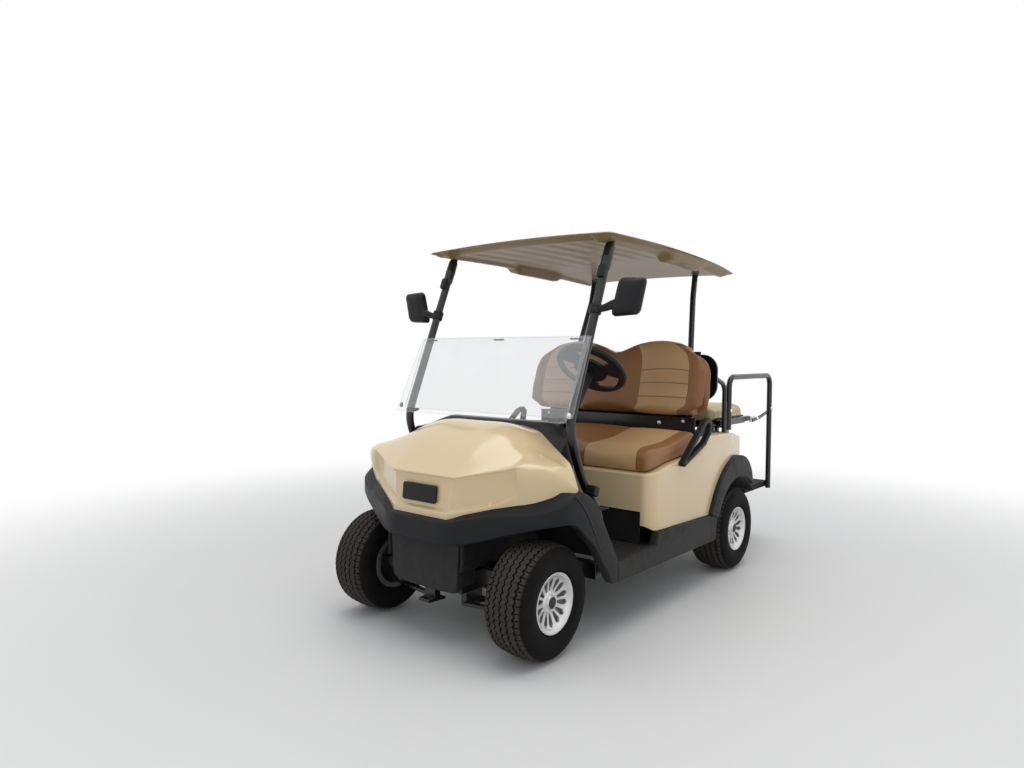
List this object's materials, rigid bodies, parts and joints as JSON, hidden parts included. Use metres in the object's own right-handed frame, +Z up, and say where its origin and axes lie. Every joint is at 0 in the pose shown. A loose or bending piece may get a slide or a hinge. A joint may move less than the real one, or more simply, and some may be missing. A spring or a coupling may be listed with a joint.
{
  "type": "electric golf cart",
  "caption": "Golf cart with a moulded nose cowl, roof on four struts, folded windscreen, bench seat, rear-facing flip seat with hoops and footplate, and alloy wheels.",
  "frame": {"origin": "on the ground under the middle of the whole length and width", "axes": "+Z up, +Y towards the cart's rear, +X to the cart's left side"},
  "size_m": [1.427, 2.65, 1.7337],
  "materials": {
    "ivory": "glossy moulded body panels",
    "charcoal": "matt grained moulded plastic",
    "roof_beige": "satin moulded roof",
    "black_steel": "gloss black painted steel",
    "grey_steel": "bare grey steel",
    "caramel": "smooth two-tone vinyl",
    "cream_vinyl": "cream vinyl",
    "tyre_rubber": "black tyre rubber",
    "alloy": "silver painted alloy",
    "clear_pane": "clear acrylic",
    "soft_black": "soft black grip plastic",
    "battery_case": "plain black cases"
  },
  "bodies": {
    "cart": {"chassis_frame": "black_steel", "axle_bracket": "grey_steel", "front_cowl": "ivory", "front_bumper": "charcoal", "front_shield": "charcoal", "tow_bracket": "black_steel", "dash_panel": "charcoal", "toe_board": "charcoal", "floor_pan": "charcoal", "rocker_panels": "charcoal", "rear_body": "ivory", "kick_panel": "charcoal", "well_cover": "charcoal", "rear_wing_trims": "charcoal", "battery_pack": "battery_case", "seat_cushion": "caramel", "seat_back": "caramel", "seat_back_frame": "black_steel", "armrests": "soft_black", "roof": "roof_beige", "front_struts": "black_steel", "rear_struts": "black_steel", "windscreen_lower": "clear_pane", "windscreen_upper": "clear_pane", "windscreen_hinges": "soft_black", "windscreen_clips": "soft_black", "mirrors": "soft_black", "steering_column": "soft_black", "pedals": "black_steel", "front_leaf_spring": "black_steel", "front_lower_arms": "black_steel", "rear_axle": "black_steel", "rear_leaf_springs": "black_steel", "rear_seat_frame": "black_steel", "grab_hoops": "black_steel", "footplate": "black_steel", "rear_back_frame": "black_steel", "rear_backrest": "cream_vinyl"},
    "knuckle_left": {"knuckle_left": "grey_steel"},
    "knuckle_right": {"knuckle_right": "grey_steel"},
    "tie_rod": {"tie_rod": "black_steel"},
    "steering_wheel": {"steering_wheel": "soft_black"},
    "wheel_front_left": {"tyre_front_left": "tyre_rubber", "rim_front_left": "alloy"},
    "wheel_front_right": {"tyre_front_right": "tyre_rubber", "rim_front_right": "alloy"},
    "wheel_rear_left": {"tyre_rear_left": "tyre_rubber", "rim_rear_left": "alloy"},
    "wheel_rear_right": {"tyre_rear_right": "tyre_rubber", "rim_rear_right": "alloy"},
    "flip_seat": {"flip_deck": "black_steel", "rear_cushion": "cream_vinyl"}
  },
  "joints": [
    {"name": "steer_left", "type": "hinge", "parent": "cart", "child": "knuckle_left", "pos_m": [0.33, -1.095, 0.2286], "axis": [0, 0, 1], "range_deg": [-30, 30]},
    {"name": "steer_right", "type": "hinge", "parent": "cart", "child": "knuckle_right", "pos_m": [-0.33, -1.095, 0.2286], "axis": [0, 0, 1], "range_deg": [-30, 30]},
    {"name": "tie_rod_pivot", "type": "hinge", "parent": "knuckle_left", "child": "tie_rod", "pos_m": [0.33, -0.995, 0.1787], "axis": [0, 0, 1], "range_deg": [-30, 30]},
    {"name": "steering_wheel_turn", "type": "hinge", "parent": "cart", "child": "steering_wheel", "pos_m": [0.31, -0.495, 1.13], "axis": [0, 0.6293, 0.7771], "range_deg": [-360, 360]},
    {"name": "spin_front_left", "type": "hinge", "parent": "knuckle_left", "child": "wheel_front_left", "pos_m": [0.4555, -1.095, 0.2286], "axis": [1, 0, 0], "continuous": true},
    {"name": "spin_front_right", "type": "hinge", "parent": "knuckle_right", "child": "wheel_front_right", "pos_m": [-0.4555, -1.095, 0.2286], "axis": [1, 0, 0], "continuous": true},
    {"name": "spin_rear_left", "type": "hinge", "parent": "cart", "child": "wheel_rear_left", "pos_m": [0.5, 0.572, 0.2286], "axis": [1, 0, 0], "continuous": true},
    {"name": "spin_rear_right", "type": "hinge", "parent": "cart", "child": "wheel_rear_right", "pos_m": [-0.5, 0.572, 0.2286], "axis": [1, 0, 0], "continuous": true},
    {"name": "seat_flip", "type": "hinge", "parent": "cart", "child": "flip_seat", "pos_m": [0, 1.065, 0.816], "axis": [-1, 0, 0], "range_deg": [0, 180]}
  ],
  "couplings": [
    {"joint": "steer_right", "follows": "steer_left", "ratio": 1},
    {"joint": "tie_rod_pivot", "follows": "steer_left", "ratio": -1},
    {"joint": "steering_wheel_turn", "follows": "steer_left", "ratio": 12}
  ]
}
